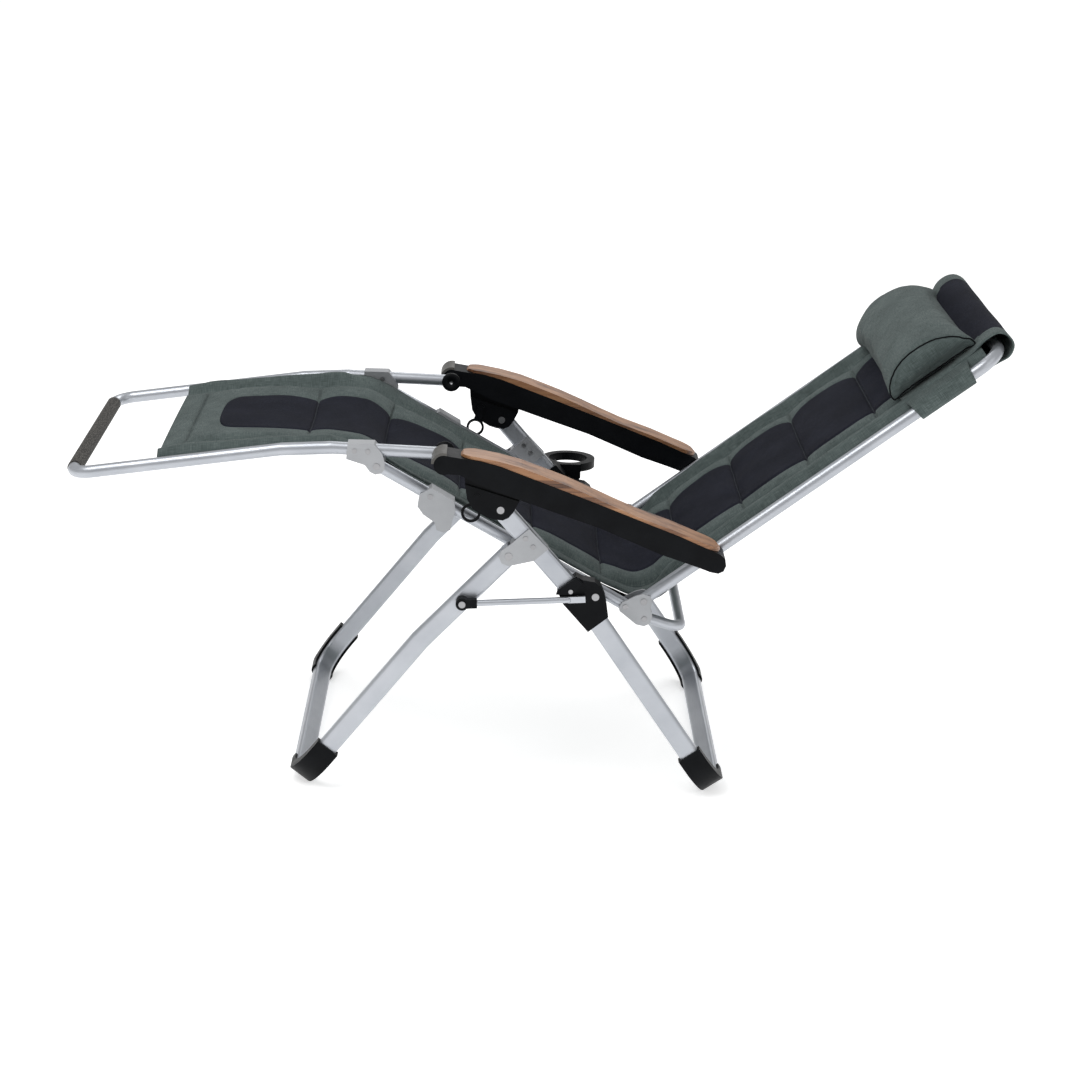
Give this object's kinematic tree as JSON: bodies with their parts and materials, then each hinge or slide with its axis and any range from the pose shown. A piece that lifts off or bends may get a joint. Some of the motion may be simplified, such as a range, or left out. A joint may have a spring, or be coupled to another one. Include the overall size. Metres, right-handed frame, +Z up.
{
  "type": "zero gravity recliner",
  "caption": "Folding reclining lounge chair: alloy tube frame on two crossed leg frames, padded sling, sliding armrests with locks, pillow and cup holder.",
  "frame": {"origin": "centre of the chair's box, on the floor", "axes": "+X from the feet to the head, +Y to the sitter's right, +Z up"},
  "size_m": [1.6194, 0.791, 0.8371],
  "materials": {
    "aluminium_tube": "satin anodised",
    "black_plastic": "moulded, slightly rough",
    "grey_plastic": "moulded",
    "wood": "satin wood grain",
    "steel_pin": "bright",
    "alu_cast": "painted casting",
    "grip_foam": "woven foam",
    "fabric_navy": "plain weave",
    "fabric_green": "heather weave"
  },
  "bodies": {
    "rear_leg": {"rear_leg_frame": "aluminium_tube", "rear_shoe_l": "black_plastic", "rear_shoe_r": "black_plastic", "knuckle_l": "alu_cast", "knuckle_r": "alu_cast", "knuckle_rivets": "steel_pin", "knuckle_pins": "steel_pin", "slider_l": "black_plastic", "slider_r": "black_plastic", "latch_l": "black_plastic", "latch_r": "black_plastic", "latch_screws": "steel_pin", "seat_pivot_pins": "steel_pin", "cup_clamp": "black_plastic", "cup_ring": "black_plastic", "cup_tray_wall": "black_plastic"},
    "front_leg": {"front_leg_frame": "aluminium_tube", "front_shoe_l": "black_plastic", "front_shoe_r": "black_plastic", "link_pins": "steel_pin"},
    "link_rods": {"link_rod_l": "aluminium_tube", "link_rod_r": "aluminium_tube", "link_clevis_l": "black_plastic", "link_clevis_r": "black_plastic"},
    "lock_housings": {"lock_housing_l": "black_plastic", "lock_housing_r": "black_plastic", "housing_pins": "steel_pin", "ring_pins": "steel_pin"},
    "lock_lever_l": {"lock_ring_l": "black_plastic"},
    "lock_lever_r": {"lock_ring_r": "black_plastic"},
    "seat": {"seat_rail_l": "aluminium_tube", "seat_rail_r": "aluminium_tube", "front_cross_tube": "aluminium_tube", "cross_bracket_l": "alu_cast", "cross_bracket_r": "alu_cast", "rear_plate_l": "alu_cast", "rear_plate_r": "alu_cast", "plate_rivets": "steel_pin", "back_pins": "steel_pin", "lower_cross_tube": "aluminium_tube", "seat_pad": "fabric_navy"},
    "footrest": {"foot_frame": "aluminium_tube", "foot_grip": "grip_foam", "saddle_l": "alu_cast", "saddle_r": "alu_cast", "saddle_rivets": "steel_pin", "foot_pins": "steel_pin", "arm_pins": "steel_pin", "foot_pad": "fabric_navy"},
    "armrests": {"arm_body_l": "black_plastic", "arm_body_r": "black_plastic", "arm_wood_l": "wood", "arm_wood_r": "wood", "arm_cap_l": "grey_plastic", "arm_cap_r": "grey_plastic"},
    "backrest": {"back_frame": "aluminium_tube", "arm_bolts": "steel_pin", "back_pad": "fabric_navy"},
    "pillow": {"pillow": "fabric_green"}
  },
  "joints": [
    {"name": "recline", "type": "hinge", "parent": "rear_leg", "child": "seat", "pos_m": [0.1157, -0.0505, 0.3761], "axis": [0, -1, 0], "range_deg": [-3, 10]},
    {"name": "footrest_turn", "type": "hinge", "parent": "seat", "child": "footrest", "pos_m": [-0.2687, -0.0505, 0.589], "axis": [0, -1, 0], "range_deg": [-8.11, 27.01]},
    {"name": "backrest_turn", "type": "hinge", "parent": "seat", "child": "backrest", "pos_m": [0.2029, -0.0505, 0.3555], "axis": [0, -1, 0], "range_deg": [-5.08, 16.91]},
    {"name": "armrest_turn", "type": "hinge", "parent": "footrest", "child": "armrests", "pos_m": [-0.1521, -0.0505, 0.612], "axis": [0, -1, 0], "range_deg": [-29.71, 8.92]},
    {"name": "housing_turn", "type": "hinge", "parent": "rear_leg", "child": "lock_housings", "pos_m": [-0.053, -0.0505, 0.529], "axis": [0, -1, 0], "range_deg": [-2.2, 7.31]},
    {"name": "fold", "type": "hinge", "parent": "rear_leg", "child": "front_leg", "pos_m": [-0.0371, -0.0505, 0.4454], "axis": [0, -1, 0], "range_deg": [0, 75]},
    {"name": "link_turn", "type": "hinge", "parent": "front_leg", "child": "link_rods", "pos_m": [-0.1156, -0.0505, 0.361], "axis": [0, -1, 0], "range_deg": [-129.76, 0.01]},
    {"name": "lock_lever_left", "type": "hinge", "parent": "lock_housings", "child": "lock_lever_l", "pos_m": [-0.0939, -0.0505, 0.5525], "axis": [0, -1, 0], "range_deg": [-25, 25]},
    {"name": "lock_lever_right", "type": "hinge", "parent": "lock_housings", "child": "lock_lever_r", "pos_m": [-0.0939, -0.0505, 0.5525], "axis": [0, -1, 0], "range_deg": [-25, 25]},
    {"name": "pillow_slide", "type": "slide", "parent": "backrest", "child": "pillow", "axis": [0.7923, 0, 0.6101], "range_m": [-0.12, 0]}
  ],
  "couplings": [
    {"joint": "footrest_turn", "follows": "recline", "ratio": 2.7},
    {"joint": "backrest_turn", "follows": "recline", "ratio": 1.69},
    {"joint": "armrest_turn", "follows": "recline", "ratio": -2.97},
    {"joint": "housing_turn", "follows": "recline", "ratio": 0.73},
    {"joint": "link_turn", "follows": "fold", "ratio": -1.73}
  ]
}
